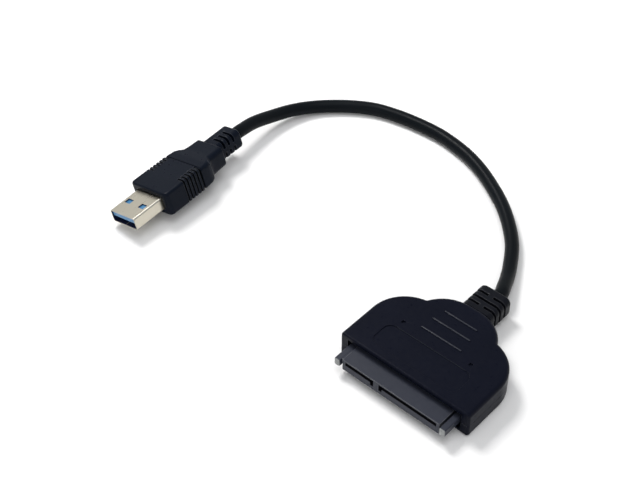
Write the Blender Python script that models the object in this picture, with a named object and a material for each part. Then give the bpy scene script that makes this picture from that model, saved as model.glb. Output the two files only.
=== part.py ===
"""Cable adapter that joins a computer's flat plug to a drive's wide connector. Metres, +Z up.

The drive end stands on the origin with its connector facing -Y. The cable leaves it towards +Y, lies
on the same surface in one wide bow and ends in the plug, which faces -Y too.
"""
import math

import bmesh
import bpy
from mathutils import Euler, Matrix, Vector

# Clearances
seam_gap = 0.0003
contact_gap = 0.0001
solder_gap = 0.0001
rest_gap = 0.00005

# Housing of the drive end
housing_width = 0.0472
housing_height = 0.0092
body_depth = 0.0275
body_corner = 0.0129
front_corner = 0.0008
neck_width = 0.0290
neck_depth = 0.0066
neck_corner = 0.0125
notch_radius = 0.0010
wall = 0.0016
floor_thickness = 0.0012
roof_thickness = 0.0015
top_rounding = 0.0013
front_rounding = 0.0005
bottom_rounding = 0.0009
split_height = 0.0044
lip_height = 0.0008
lip_thickness = 0.0006
mouth_margin = 0.0005

# Relief on the upper shell
recess_width = 0.0308
recess_depth = 0.00025
recess_front = 0.0032
recess_rear = 0.0125
recess_corner = 0.0028
ridge_height = 0.0003
ridge_width = 0.0006
ridges = ((0.0174, 0.0150), (0.02225, 0.0140), (0.02675, 0.0122))
pit_spacing = 0.0248
pit_setback = 0.0153
pit_size = 0.0011
pit_depth = 0.0005

# Connector of the drive end
nose_reach = 0.0058
nose_width = 0.0356
nose_bottom = 0.0021
nose_top = 0.0063
arm_lead = 0.0010
arm_outer_width = 0.0406
arm_thickness = 0.0020
arm_bottom = 0.0034
arm_top = 0.0060
arm_taper = 0.0008
web_setback = 0.0005
base_setback = 0.0013
base_depth = 0.0030
slot_height = 0.00131
slot_bottom = 0.00455
slot_depth = 0.0064
key_leg_width = 0.00117
key_leg_height = 0.0024
signal_slot_left = -0.0167
signal_slot_width = 0.01057
power_slot_right = 0.0167
power_slot_width = 0.02083

# Sprung contacts of the drive end
contact_pitch = 0.00127
contact_width = 0.0006
contact_thickness = 0.0002
contact_setback = 0.0010
contact_lift = 0.0004
contact_foot = 0.0015
signal_contacts = 7
power_contacts = 15

# Board and what it carries
board_thickness = 0.0010
board_width = 0.0350
board_depth = 0.0160
board_chamfer = 0.0020
boss_diameter = 0.0024
boss_height = 0.0011
boss_inset = 0.0030
chip_size = 0.0070
chip_height = 0.0009
crystal_size = (0.0032, 0.0025, 0.0008)
regulator_size = (0.0030, 0.0016, 0.0011)
inductor_size = (0.0040, 0.0040, 0.0020)
capacitor_size = (0.0020, 0.0012, 0.0009)

# Sleeve where the cable leaves the housing
sleeve_length = 0.0112
sleeve_width = 0.0110
sleeve_height = 0.0071
sleeve_corner = 0.0020
sleeve_waist_width = 0.0078
sleeve_waist_height = 0.0046
sleeve_flange_width = 0.0100
sleeve_flange_height = 0.0058
sleeve_flange_depth = 0.0014
sleeve_flange_setback = 0.0025
sleeve_end_rounding = 0.0010
sleeve_slot_first = 0.00285
sleeve_slot_pitch = 0.00245
sleeve_slot_width = 0.0009
sleeve_slot_depth = 0.0011
sleeve_bridge = 0.0018
sleeve_lean = 0.0001

# Cable and its wires
cable_diameter = 0.00465
cable_straight = 0.0025
cable_spacing = 0.0065
wire_diameter = 0.0009
wire_pitch = 0.0011
wire_pad_pitch = 0.0020
wire_overlap = 0.0022

# Metal shell and insulator of the plug
shell_width = 0.0120
shell_height = 0.0045
shell_sheet = 0.0003
shell_corner = 0.0006
shell_exposed = 0.0123
shell_hidden = 0.0053
window_width = 0.0025
window_depth = 0.0021
window_spacing = 0.0067
window_setback = 0.0063
shell_seam = 0.00012
tongue_setback = 0.0005
tongue_thickness = 0.0019
tongue_side_gap = 0.0002
tongue_block_depth = 0.0062
flat_contact_width = 0.0010
flat_contact_thickness = 0.00025
flat_contact_setback = 0.0012
flat_contact_places = (-0.0035, -0.0010, 0.0010, 0.0035)
rear_contact_width = 0.0006
rear_contact_reach = 0.0032
rear_contact_drop = 0.0008
rear_contact_places = (-0.0040, -0.0020, 0.0, 0.0020, 0.0040)
tail_length = 0.0014

# Moulding of the plug
moulding_width = 0.0179
moulding_height = 0.0087
moulding_corner = 0.0010
moulding_face_rounding = 0.0006
moulding_front_corner = 0.0016
step_setback = 0.0284
step_drop = 0.0002
shoulder_start = 0.0312
shoulder_width = 0.0172
shoulder_setback = 0.0330
shoulder_corner = 0.0018
shoulder_drop = 0.0016
shoulder_foot = 0.0345
collar_width = 0.0133
collar_height = 0.0077
collar_setback = 0.0364
collar_end = 0.0413
plug_sleeve_width = 0.0081
plug_sleeve_height = 0.0071
plug_sleeve_corner = 0.0018
plug_length = 0.0520
grip_first = 0.0208
grip_pitch = 0.00146
grip_count = 6
grip_width = 0.00075
grip_depth = 0.0005
grip_reach = 0.0060
plug_slot_first = 0.0439
plug_slot_pitch = 0.0022
plug_slot_width = 0.0010
plug_slot_core = 0.0026

# Place of the plug: the middle of the shell's mouth, and its turns about X, Y and Z
plug_x = -0.10995
plug_y = -0.0268
plug_turn = (math.radians(3.4), math.radians(-13.7), math.radians(0.45))

# Levels and stations of the drive end
drive_length = arm_lead + nose_reach + body_depth + neck_depth + sleeve_length
nose_y = -drive_length / 2 + arm_lead
face_y = nose_y + nose_reach
body_rear_y = face_y + body_depth
neck_rear_y = body_rear_y + neck_depth
sleeve_end_y = neck_rear_y + sleeve_length
ceiling = housing_height - roof_thickness
base_front_y = face_y + wall + base_setback
base_rear_y = base_front_y + base_depth
board_front_y = base_rear_y + seam_gap
board_rear_y = board_front_y + board_depth
board_bottom = floor_thickness + boss_height + seam_gap
board_top = board_bottom + board_thickness
mouth_half = arm_outer_width / 2 + mouth_margin

# Route of the cable between its two ends, through the middle of its jacket
cable_route = (
    (-0.0019, 0.0327, 0.0036),
    (-0.0037, 0.0368, 0.0028),
    (-0.0063, 0.0419, 0.0024),
    (-0.0113, 0.0499, 0.0024),
    (-0.0176, 0.0569, 0.0024),
    (-0.0246, 0.0630, 0.0024),
    (-0.0321, 0.0680, 0.0024),
    (-0.0400, 0.0724, 0.0024),
    (-0.0479, 0.0756, 0.0024),
    (-0.0560, 0.0775, 0.0024),
    (-0.0641, 0.0784, 0.0024),
    (-0.0742, 0.0778, 0.0024),
    (-0.0819, 0.0765, 0.0024),
    (-0.0892, 0.0743, 0.0024),
    (-0.0956, 0.0705, 0.0024),
    (-0.1014, 0.0658, 0.0024),
    (-0.1063, 0.0601, 0.0027),
    (-0.1096, 0.0533, 0.0036),
    (-0.1114, 0.0447, 0.0051),
    (-0.1118, 0.0356, 0.0073),
)

corner_steps = 4
rear_steps = 10
rim_steps = 3
overcut = 0.001


def clear_scene():
    for old in list(bpy.data.objects):
        bpy.data.objects.remove(old, do_unlink=True)


def collection(name):
    group = bpy.data.collections.new(name)
    bpy.context.scene.collection.children.link(group)
    return group


clear_scene()
parts = collection("usb_to_sata_adapter")
cutters = collection("cutters")


def material(name, colour, roughness, metallic=0.0):
    made = bpy.data.materials.new(name)
    made.use_nodes = True
    shader = made.node_tree.nodes["Principled BSDF"]
    shader.inputs["Base Color"].default_value = (*colour, 1.0)
    shader.inputs["Roughness"].default_value = roughness
    shader.inputs["Metallic"].default_value = metallic
    return made


def as_part(item, name, look, smooth_angle=40.0):
    """Names a finished piece, gives it its material and shades its round faces smooth."""
    item.name = name
    item.data.materials.clear()
    item.data.materials.append(look)
    if item.type == "MESH":
        item.data.shade_smooth()
        item.data.set_sharp_from_angle(angle=math.radians(smooth_angle))
    return item


def to_cutters(item):
    """Keeps a piece only as an operand of another piece's Boolean."""
    parts.objects.unlink(item)
    cutters.objects.link(item)
    item.hide_render = True
    item.display_type = "WIRE"


def boolean(target, other, operation):
    step = target.modifiers.new(other.name, "BOOLEAN")
    step.operation = operation
    step.solver = "EXACT"
    step.object = other
    to_cutters(other)
    return target


def cut(target, *others):
    for other in others:
        boolean(target, other, "DIFFERENCE")
    return target


def join(target, *others):
    for other in others:
        boolean(target, other, "UNION")
    return target


def mesh_object(name, shape):
    """Turns a finished bmesh into an object of the part."""
    bmesh.ops.recalc_face_normals(shape, faces=shape.faces)
    mesh = bpy.data.meshes.new(name)
    shape.to_mesh(mesh)
    shape.free()
    item = bpy.data.objects.new(name, mesh)
    parts.objects.link(item)
    return item


def box(name, low, high):
    low, high = Vector(low), Vector(high)
    shape = bmesh.new()
    bmesh.ops.create_cube(shape, size=1.0, matrix=Matrix.LocRotScale((low + high) / 2, None, high - low))
    return mesh_object(name, shape)


def rounded_box(name, middle, size, radius):
    """Block with its upright and upper edges rounded."""
    middle, size = Vector(middle), Vector(size)
    shape = bmesh.new()
    bmesh.ops.create_cube(shape, size=1.0, matrix=Matrix.LocRotScale(middle, None, size))
    low = middle.z - size.z / 2
    edges = [edge for edge in shape.edges if max(v.co.z for v in edge.verts) > low + size.z / 2]
    bmesh.ops.bevel(shape, geom=edges, offset=radius, segments=2, profile=0.5, affect="EDGES")
    return mesh_object(name, shape)


def cylinder(name, middle, diameter, bottom, top, sides=16):
    shape = bmesh.new()
    place = Matrix.Translation((middle[0], middle[1], (bottom + top) / 2))
    bmesh.ops.create_cone(shape, cap_ends=True, segments=sides, radius1=diameter / 2,
                          radius2=diameter / 2, depth=top - bottom, matrix=place)
    return mesh_object(name, shape)


def arc(centre, radius, start, end, steps):
    """Points on an arc from one angle in degrees to another."""
    angles = [math.radians(start + (end - start) * step / steps) for step in range(steps + 1)]
    return [(centre[0] + radius * math.cos(a), centre[1] + radius * math.sin(a)) for a in angles]


def plate(name, outline, low, high, normal="Z"):
    """Solid of a flat outline between two levels along X, Y or Z."""
    curve = bpy.data.curves.new(name, "CURVE")
    curve.dimensions = "2D"
    curve.fill_mode = "BOTH"
    curve.extrude = (high - low) / 2
    spline = curve.splines.new("POLY")
    spline.points.add(len(outline) - 1)
    for point, (a, b) in zip(spline.points, outline):
        point.co = (a, b, 0.0, 1.0)
    spline.use_cyclic_u = True
    guide = bpy.data.objects.new(name, curve)
    parts.objects.link(guide)
    evaluated = guide.evaluated_get(bpy.context.evaluated_depsgraph_get())
    mesh = bpy.data.meshes.new_from_object(evaluated)
    bpy.data.objects.remove(guide, do_unlink=True)
    shape = bmesh.new()
    shape.from_mesh(mesh)
    bpy.data.meshes.remove(mesh)
    bmesh.ops.remove_doubles(shape, verts=shape.verts, dist=1e-7)
    bmesh.ops.dissolve_limit(shape, angle_limit=1e-3, verts=shape.verts, edges=shape.edges)
    middle = (low + high) / 2
    for vertex in shape.verts:
        a, b, c = vertex.co.x, vertex.co.y, vertex.co.z + middle
        vertex.co = {"X": (c, a, b), "Y": (a, c, b), "Z": (a, b, c)}[normal]
    return mesh_object(name, shape)


def strip(name, path, thickness, left, right):
    """Bent strip: a path in the YZ plane, thickened and drawn out along X."""
    upper, lower = [], []
    for index, point in enumerate(path):
        here = Vector(point)
        before = Vector(path[max(index - 1, 0)])
        after = Vector(path[min(index + 1, len(path) - 1)])
        turn_in = (here - before).normalized() if index else (after - here).normalized()
        turn_out = (after - here).normalized() if index < len(path) - 1 else turn_in
        along = (turn_in + turn_out).normalized()
        across = Vector((-along.y, along.x)) * thickness / 2 / max(along.dot(turn_in), 0.5)
        upper.append(tuple(here + across))
        lower.append(tuple(here - across))
    return plate(name, upper + lower[::-1], left, right, "X")


def section(width, height, corner):
    """Points of a rounded rectangle in the XZ plane, the same number at any size."""
    a, b = width / 2 - corner, height / 2 - corner
    points = []
    for x, z, start in ((a, b, 0), (-a, b, 90), (-a, -b, 180), (a, -b, 270)):
        points += arc((x, z), corner, start, start + 90, corner_steps)
    return points


def loft(name, stations, lift=0.0):
    """Solid through rounded sections, each given as its Y, width, height and corner radius."""
    shape = bmesh.new()
    rings = []
    for y, width, height, corner in stations:
        rings.append([shape.verts.new((x, y, z + lift)) for x, z in section(width, height, corner)])
    for near, far in zip(rings, rings[1:]):
        for index in range(len(near)):
            following = (index + 1) % len(near)
            shape.faces.new((near[index], near[following], far[following], far[index]))
    shape.faces.new(rings[0][::-1])
    shape.faces.new(rings[-1])
    return mesh_object(name, shape)


def smooth_points(route, spacing):
    """Even points read from a smooth curve through the route's points."""
    route = [Vector(point) for point in route]
    padded = [2 * route[0] - route[1]] + route + [2 * route[-1] - route[-2]]
    dense = []
    for p0, p1, p2, p3 in zip(padded, padded[1:], padded[2:], padded[3:]):
        for step in range(24):
            t = step / 24
            dense.append(0.5 * (2 * p1 + (p2 - p0) * t + (2 * p0 - 5 * p1 + 4 * p2 - p3) * t * t
                                + (3 * p1 - 3 * p2 + p3 - p0) * t ** 3))
    dense.append(route[-1])
    lengths = [0.0]
    for before, after in zip(dense, dense[1:]):
        lengths.append(lengths[-1] + (after - before).length)
    count = max(2, round(lengths[-1] / spacing))
    points, index = [], 0
    for step in range(count + 1):
        wanted = lengths[-1] * step / count
        while index < len(lengths) - 2 and lengths[index + 1] < wanted:
            index += 1
        share = (wanted - lengths[index]) / max(lengths[index + 1] - lengths[index], 1e-9)
        points.append(dense[index].lerp(dense[index + 1], min(share, 1.0)))
    return points


def tube(name, points, diameter, resolution):
    """Round wire along a line of points."""
    curve = bpy.data.curves.new(name, "CURVE")
    curve.dimensions = "3D"
    curve.bevel_depth = diameter / 2
    curve.bevel_resolution = resolution
    curve.use_fill_caps = True
    spline = curve.splines.new("POLY")
    spline.points.add(len(points) - 1)
    for point, place in zip(spline.points, points):
        point.co = (*place, 1.0)
    item = bpy.data.objects.new(name, curve)
    parts.objects.link(item)
    return item


def meeting_point(first, first_radius, second, second_radius):
    """Right-hand point where two circles meet."""
    between = second - first
    apart = between.length
    along = (first_radius ** 2 - second_radius ** 2 + apart ** 2) / (2 * apart)
    aside = math.sqrt(first_radius ** 2 - along ** 2)
    ahead = between / apart
    return first + ahead * along + Vector((ahead.y, -ahead.x)) * aside


def angle_to(start, end):
    return math.degrees(math.atan2(end.y - start.y, end.x - start.x))


def housing_outline(inset=0.0, front_inset=None):
    """Outline of the body and its neck, drawn in from the outer face, with a small round in each notch."""
    front_inset = inset if front_inset is None else front_inset
    body = Vector((housing_width / 2 - body_corner, body_rear_y - body_corner))
    neck = Vector((neck_width / 2 - neck_corner, neck_rear_y - neck_corner))
    notch = meeting_point(body, body_corner + notch_radius, neck, neck_corner + notch_radius)
    corner = max(front_corner - max(inset, front_inset), front_corner / 8)
    corner_centre = (housing_width / 2 - inset - corner, face_y + front_inset + corner)
    right = arc(corner_centre, corner, -90, 0, corner_steps)
    right += arc(body, body_corner - inset, 0, angle_to(body, notch), rear_steps)
    right += arc(notch, notch_radius + inset, angle_to(body, notch) - 180, angle_to(neck, notch) - 180,
                 corner_steps)[1:]
    right += arc(neck, neck_corner - inset, angle_to(neck, notch), 90, rear_steps)[1:]
    return right + [(-x, y) for x, y in reversed(right)]


def housing_rings(name, levels):
    """Solid through outlines of the housing, each given as its height, inset and front inset."""
    shape = bmesh.new()
    rings = []
    for level, inset, front_inset in levels:
        rings.append([shape.verts.new((x, y, level)) for x, y in housing_outline(inset, front_inset)])
    for near, far in zip(rings, rings[1:]):
        for index in range(len(near)):
            following = (index + 1) % len(near)
            shape.faces.new((near[index], near[following], far[following], far[index]))
    shape.faces.new(rings[0][::-1])
    shape.faces.new(rings[-1])
    return mesh_object(name, shape)


def rounded_levels(flat, rim, radius, front_radius):
    """Levels from a flat end up or down to a rounded rim."""
    way = 1 if rim > flat else -1
    levels = [(flat, 0.0, 0.0)]
    for step in range(rim_steps + 1):
        turn = math.radians(90 * step / rim_steps)
        rise = radius * math.sin(turn)
        inset = radius * (1 - math.cos(turn))
        beyond = max(rise - (radius - front_radius), 0.0)
        front = front_radius - math.sqrt(max(front_radius ** 2 - beyond ** 2, 0.0))
        levels.append((rim - way * (radius - rise), inset, front))
    return levels


def cut_hollow(shell, name, inset, low, high):
    """Hollows a shell out between two heights."""
    return cut(shell, housing_rings(name, [(low, inset, inset), (high, inset, inset)]))


def cut_openings(shell, name):
    """The mouth around the connector, and the hole that holds the sleeve's waist."""
    cut(shell, box(name + "_mouth", (-mouth_half, face_y - overcut, floor_thickness),
                   (mouth_half, face_y + wall + overcut, ceiling)))
    hole = loft(name + "_cable_hole", [
        (neck_rear_y - wall - overcut, sleeve_waist_width + 2 * seam_gap, sleeve_waist_height + 2 * seam_gap,
         sleeve_corner),
        (neck_rear_y + overcut, sleeve_waist_width + 2 * seam_gap, sleeve_waist_height + 2 * seam_gap,
         sleeve_corner)], split_height)
    cut(shell, hole)


def make_housing_top(look):
    low = split_height + seam_gap / 2
    shell = housing_rings("housing_top", rounded_levels(low, housing_height, top_rounding, front_rounding))
    for index, (setback, length) in enumerate(ridges):
        join(shell, rounded_box(f"ridge_{index}", (0.0, face_y + setback, housing_height),
                                (length, ridge_width, 2 * ridge_height), ridge_width / 3))
    recess = arc((recess_width / 2 - recess_corner, face_y + recess_front + recess_corner), recess_corner,
                 -90, 0, corner_steps)
    recess += arc((recess_width / 2 - recess_corner, face_y + recess_rear - recess_corner), recess_corner,
                  0, 90, corner_steps)
    recess += [(-x, y) for x, y in reversed(recess)]
    cut(shell, plate("recess", recess, housing_height - recess_depth, housing_height + overcut))
    for side in (-1, 1):
        x, y = side * pit_spacing / 2, face_y + pit_setback
        cut(shell, box(f"pit_{side}", (x - pit_size / 2, y - pit_size / 2, housing_height - pit_depth),
                       (x + pit_size / 2, y + pit_size / 2, housing_height + overcut)))
    cut_hollow(shell, "top", wall, low - overcut, ceiling)
    cut_hollow(shell, "rebate", wall - lip_thickness - seam_gap, low - overcut,
               split_height + lip_height + seam_gap)
    cut_openings(shell, "top")
    return as_part(shell, "housing_top", look)


def boss_places():
    x = board_width / 2 - boss_inset
    rows = (board_front_y + boss_inset, board_rear_y - boss_inset)
    return [(side * x, y) for side in (-1, 1) for y in rows]


def make_housing_bottom(look):
    high = split_height - seam_gap / 2
    shell = housing_rings("housing_bottom", rounded_levels(high, 0.0, bottom_rounding, bottom_rounding))
    lip_inset = wall - lip_thickness
    join(shell, housing_rings("lip", [(floor_thickness, lip_inset, lip_inset),
                                      (split_height + lip_height, lip_inset, lip_inset)]))
    cut_hollow(shell, "bottom", wall, floor_thickness, split_height + lip_height + overcut)
    cut_openings(shell, "bottom")
    for index, place in enumerate(boss_places()):
        join(shell, cylinder(f"boss_{index}", place, boss_diameter, floor_thickness / 2,
                             floor_thickness + boss_height))
    return as_part(shell, "housing_bottom", look)


def slot_outline(left, width, key_at_left):
    """L-shaped slot in the XZ plane, its leg hanging at the end beside the key."""
    right, top = left + width, slot_bottom + slot_height
    foot = top - key_leg_height
    if key_at_left:
        return [(left, top), (right, top), (right, slot_bottom), (left + key_leg_width, slot_bottom),
                (left + key_leg_width, foot), (left, foot)]
    return [(left, top), (right, top), (right, foot), (right - key_leg_width, foot),
            (right - key_leg_width, slot_bottom), (left, slot_bottom)]


def contact_places():
    """Name and X of each sprung contact, centred in its slot beside the key leg."""
    places = []
    signal_middle = signal_slot_left + (signal_slot_width - key_leg_width) / 2
    power_middle = power_slot_right - (power_slot_width - key_leg_width) / 2
    for label, count, middle in (("signal_contact", signal_contacts, signal_middle),
                                 ("power_contact", power_contacts, power_middle)):
        for index in range(count):
            places.append((f"{label}_{index + 1}", middle + (index - (count - 1) / 2) * contact_pitch))
    return places


contact_level = slot_bottom + contact_gap + contact_thickness / 2


def make_connector(look):
    nose = box("sata_connector_body", (-nose_width / 2, nose_y, nose_bottom),
               (nose_width / 2, base_front_y + base_depth / 2, nose_top))
    join(nose, box("connector_base", (-arm_outer_width / 2, base_front_y, floor_thickness + seam_gap),
                   (arm_outer_width / 2, base_rear_y, ceiling - seam_gap)))
    for side in (-1, 1):
        outer, inner = arm_outer_width / 2, arm_outer_width / 2 - arm_thickness
        tip, root = nose_y - arm_lead, base_front_y + base_depth / 2
        plan = [(inner, tip + arm_taper), (inner + arm_taper / 2, tip), (outer - arm_taper / 2, tip),
                (outer, tip + arm_taper), (outer, root)]
        if side < 0:
            web = nose_width / 2 - seam_gap
            plan += [(web, root), (web, nose_y + web_setback), (inner, nose_y + web_setback)]
        else:
            plan += [(inner, root)]
        join(nose, plate(f"arm_{side}", [(side * x, y) for x, y in plan], arm_bottom, arm_top))
    front, back = nose_y - overcut, nose_y + slot_depth
    power_slot_left = power_slot_right - power_slot_width
    for name, left, width, key_at_left in (("signal_slot", signal_slot_left, signal_slot_width, False),
                                           ("power_slot", power_slot_left, power_slot_width, True)):
        cut(nose, plate(name, slot_outline(left, width, key_at_left), front, back, "Y"))
    half = contact_width / 2 + contact_gap
    reach = contact_thickness / 2 + contact_gap
    shape = bmesh.new()
    for _, x in contact_places():
        low = Vector((x - half, back - overcut, contact_level - reach))
        high = Vector((x + half, base_rear_y + overcut, contact_level + reach))
        bmesh.ops.create_cube(shape, size=1.0, matrix=Matrix.LocRotScale((low + high) / 2, None, high - low))
    cut(nose, mesh_object("contact_channels", shape))
    return as_part(nose, "sata_connector_body", look)


def make_contacts(look):
    foot_level = board_top + solder_gap + contact_thickness / 2
    bend = board_front_y + 2 * contact_thickness
    drop = contact_level - foot_level
    path = [(nose_y + contact_setback, contact_level),
            (nose_y + 2 * contact_setback, contact_level + contact_lift),
            (nose_y + 3.5 * contact_setback, contact_level), (bend, contact_level),
            (bend + drop, foot_level), (bend + drop + contact_foot, foot_level)]
    for name, x in contact_places():
        contact = strip(name, path, contact_thickness, x - contact_width / 2, x + contact_width / 2)
        as_part(contact, name, look)


def make_board(look):
    half = board_width / 2
    outline = [(half, board_front_y), (half, board_rear_y - board_chamfer),
               (half - board_chamfer, board_rear_y)]
    outline += [(-x, y) for x, y in reversed(outline)]
    return as_part(plate("circuit_board", outline, board_bottom, board_top), "circuit_board", look)


def on_board(name, x, setback, size, look, rounding):
    """A component that sits on the board, placed from the board's front edge."""
    middle = (x, board_front_y + setback, board_top + solder_gap + size[2] / 2)
    return as_part(rounded_box(name, middle, size, rounding), name, look)


def make_components():
    on_board("bridge_chip", -0.0030, 0.0078, (chip_size, chip_size, chip_height), chip_look, 0.0001)
    on_board("crystal", 0.0045, 0.0062, crystal_size, steel_look, 0.0002)
    on_board("regulator", 0.0115, 0.0055, regulator_size, chip_look, 0.0001)
    on_board("inductor", 0.0115, 0.0105, inductor_size, ferrite_look, 0.0004)
    for index, (x, setback) in enumerate(((-0.0100, 0.0060), (-0.0100, 0.0095), (0.0055, 0.0105))):
        on_board(f"capacitor_{index + 1}", x, setback, capacitor_size, capacitor_look, 0.0001)


flange_rear_y = neck_rear_y - sleeve_flange_setback
flange_front_y = flange_rear_y - sleeve_flange_depth


def bracket_outline(width, height, depth, bridge, side):
    """Outline that cuts one side of a sleeve's slot and leaves a bridge at the middle."""
    outer_x, outer_z = width / 2 + overcut, height / 2 + overcut
    inner_x, inner_z = width / 2 - depth, height / 2 - depth
    points = [(bridge / 2, outer_z), (outer_x, outer_z), (outer_x, -outer_z), (bridge / 2, -outer_z),
              (bridge / 2, -inner_z), (inner_x, -inner_z), (inner_x, inner_z), (bridge / 2, inner_z)]
    return [(side * x, z + split_height) for x, z in points]


def arch_outline(width, height, depth, bridge):
    """Outline that cuts a slot over the top and both sides of a sleeve, bridged underneath."""
    outer_x, outer_z = width / 2 + overcut, height / 2 + overcut
    inner_x, inner_z = width / 2 - depth, height / 2 - depth
    right = [(inner_x, inner_z), (inner_x, -inner_z), (bridge / 2, -inner_z), (bridge / 2, -outer_z),
             (outer_x, -outer_z), (outer_x, outer_z)]
    outline = right + [(-x, z) for x, z in reversed(right)]
    return [(x, z + split_height) for x, z in outline]


def lean_at(y):
    """Sideways shift of the sleeve's middle line, which follows the cable's pull."""
    return -sleeve_lean * (max(y - neck_rear_y, 0.0) / sleeve_length) ** 2


def lean(item):
    """Finishes the piece's cuts and leans it sideways."""
    mesh = bpy.data.meshes.new_from_object(item.evaluated_get(bpy.context.evaluated_depsgraph_get()))
    bpy.data.objects.remove(item, do_unlink=True)
    for vertex in mesh.vertices:
        vertex.co.x += lean_at(vertex.co.y)
    leaning = bpy.data.objects.new("sleeve", mesh)
    parts.objects.link(leaning)
    return leaning


def make_strain_relief(look):
    block_start = neck_rear_y + seam_gap
    end_start = sleeve_end_y - sleeve_end_rounding
    end_width, end_height = sleeve_width - sleeve_end_rounding, sleeve_height - sleeve_end_rounding
    sleeve = loft("strain_relief", [
        (flange_front_y, sleeve_flange_width, sleeve_flange_height, sleeve_corner),
        (flange_rear_y, sleeve_flange_width, sleeve_flange_height, sleeve_corner),
        (flange_rear_y, sleeve_waist_width, sleeve_waist_height, sleeve_corner),
        (block_start, sleeve_waist_width, sleeve_waist_height, sleeve_corner),
        (block_start, sleeve_width, sleeve_height, sleeve_corner),
        (end_start, sleeve_width, sleeve_height, sleeve_corner),
        (sleeve_end_y - sleeve_end_rounding / 4, sleeve_width - sleeve_end_rounding / 2,
         sleeve_height - sleeve_end_rounding / 2, sleeve_corner),
        (sleeve_end_y, end_width - sleeve_end_rounding / 2, end_height - sleeve_end_rounding / 2,
         sleeve_corner * 0.8)], split_height)
    for index in range(3):
        y = neck_rear_y + sleeve_slot_first + index * sleeve_slot_pitch
        low, high = y - sleeve_slot_width / 2, y + sleeve_slot_width / 2
        if index == 1:
            outline = arch_outline(sleeve_width, sleeve_height, sleeve_slot_depth, sleeve_bridge)
            cut(sleeve, plate("sleeve_arch", outline, low, high, "Y"))
            continue
        for side in (-1, 1):
            outline = bracket_outline(sleeve_width, sleeve_height, sleeve_slot_depth, sleeve_bridge, side)
            cut(sleeve, plate(f"sleeve_slot_{index}_{side}", outline, low, high, "Y"))
    return as_part(lean(sleeve), "strain_relief", look)


wire_names = ("wire_power", "wire_data_minus", "wire_data_plus", "wire_ground",
              "wire_send_minus", "wire_send_plus", "wire_receive_minus", "wire_receive_plus")
wire_colours = ((0.55, 0.02, 0.02), (0.75, 0.75, 0.72), (0.03, 0.30, 0.06), (0.02, 0.02, 0.02),
                (0.03, 0.08, 0.45), (0.70, 0.50, 0.02), (0.30, 0.05, 0.35), (0.65, 0.22, 0.02))


def make_wires():
    """Two layers of four wires that fan out from the sleeve to pads along the board's rear edge."""
    start_y = flange_front_y - seam_gap
    pad_y = board_rear_y - wire_overlap
    pad_level = board_top + solder_gap + wire_diameter / 2
    for index, (name, colour) in enumerate(zip(wire_names, wire_colours)):
        column, layer = index // 2, index % 2
        x0 = (column - 1.5) * wire_pitch
        z0 = split_height + (layer - 0.5) * wire_pitch
        x1 = (index - (len(wire_names) - 1) / 2) * wire_pad_pitch
        bend = (start_y - board_rear_y) / 3
        ends = [Vector(place) for place in ((x0, start_y, z0), (x0, start_y - bend, z0),
                                            (x1, board_rear_y + bend, pad_level), (x1, pad_y, pad_level))]
        points = []
        for step in range(9):
            t = step / 8
            points.append((1 - t) ** 3 * ends[0] + 3 * (1 - t) ** 2 * t * ends[1]
                          + 3 * (1 - t) * t * t * ends[2] + t ** 3 * ends[3])
        as_part(tube(name, points, wire_diameter, 1), name, material(name, colour, 0.45))


def moulding_stations():
    """Sections of the plug's moulding from its front face to the end of its sleeve."""
    front, stations = shell_exposed, []
    for step in range(corner_steps + 1):
        turn = math.radians(90 * step / corner_steps)
        setback = moulding_front_corner * (1 - math.cos(turn))
        inside = max(moulding_face_rounding - setback, 0.0)
        drop = moulding_face_rounding - math.sqrt(moulding_face_rounding ** 2 - inside ** 2)
        stations.append((front + setback, moulding_width - 2 * moulding_front_corner * (1 - math.sin(turn)),
                         moulding_height - 2 * drop, moulding_corner))
    rear_height = moulding_height - 2 * step_drop
    end_rounding = plug_sleeve_corner / 2
    return stations + [
        (step_setback, moulding_width, moulding_height, moulding_corner),
        (step_setback + step_drop, moulding_width, rear_height, moulding_corner),
        (shoulder_start, moulding_width, rear_height, (moulding_corner + shoulder_corner) / 2),
        (shoulder_setback, shoulder_width, rear_height - step_drop, shoulder_corner),
        (shoulder_foot, shoulder_width - 2 * shoulder_drop, collar_height + step_drop, shoulder_corner),
        (collar_setback, collar_width, collar_height, shoulder_corner),
        (collar_end - moulding_face_rounding, collar_width - moulding_face_rounding, collar_height,
         shoulder_corner),
        (collar_end, collar_width - 3 * moulding_face_rounding, collar_height - moulding_face_rounding,
         shoulder_corner),
        (collar_end + step_drop, plug_sleeve_width, plug_sleeve_height, plug_sleeve_corner),
        (plug_length - end_rounding, plug_sleeve_width, plug_sleeve_height, plug_sleeve_corner),
        (plug_length - end_rounding / 4, plug_sleeve_width - end_rounding, plug_sleeve_height - end_rounding,
         plug_sleeve_corner),
        (plug_length, plug_sleeve_width - 2 * end_rounding, plug_sleeve_height - 2 * end_rounding,
         plug_sleeve_corner),
    ]


def settled_plug():
    """Place of the middle of the shell's mouth, with the moulding's lowest edge just off the surface."""
    turn = Euler(plug_turn, "XYZ").to_matrix()
    lowest = min((turn @ Vector((x, y, z))).z for y, width, height, corner in moulding_stations()
                 for x, z in section(width, height, corner))
    return Vector((plug_x, plug_y, rest_gap - lowest))


def on_plug(item):
    """Sets a piece down in the plug's place, with every cutter that it uses."""
    for piece in (item, *(step.object for step in item.modifiers)):
        piece.location = settled_plug()
        piece.rotation_euler = plug_turn
    return item


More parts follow.
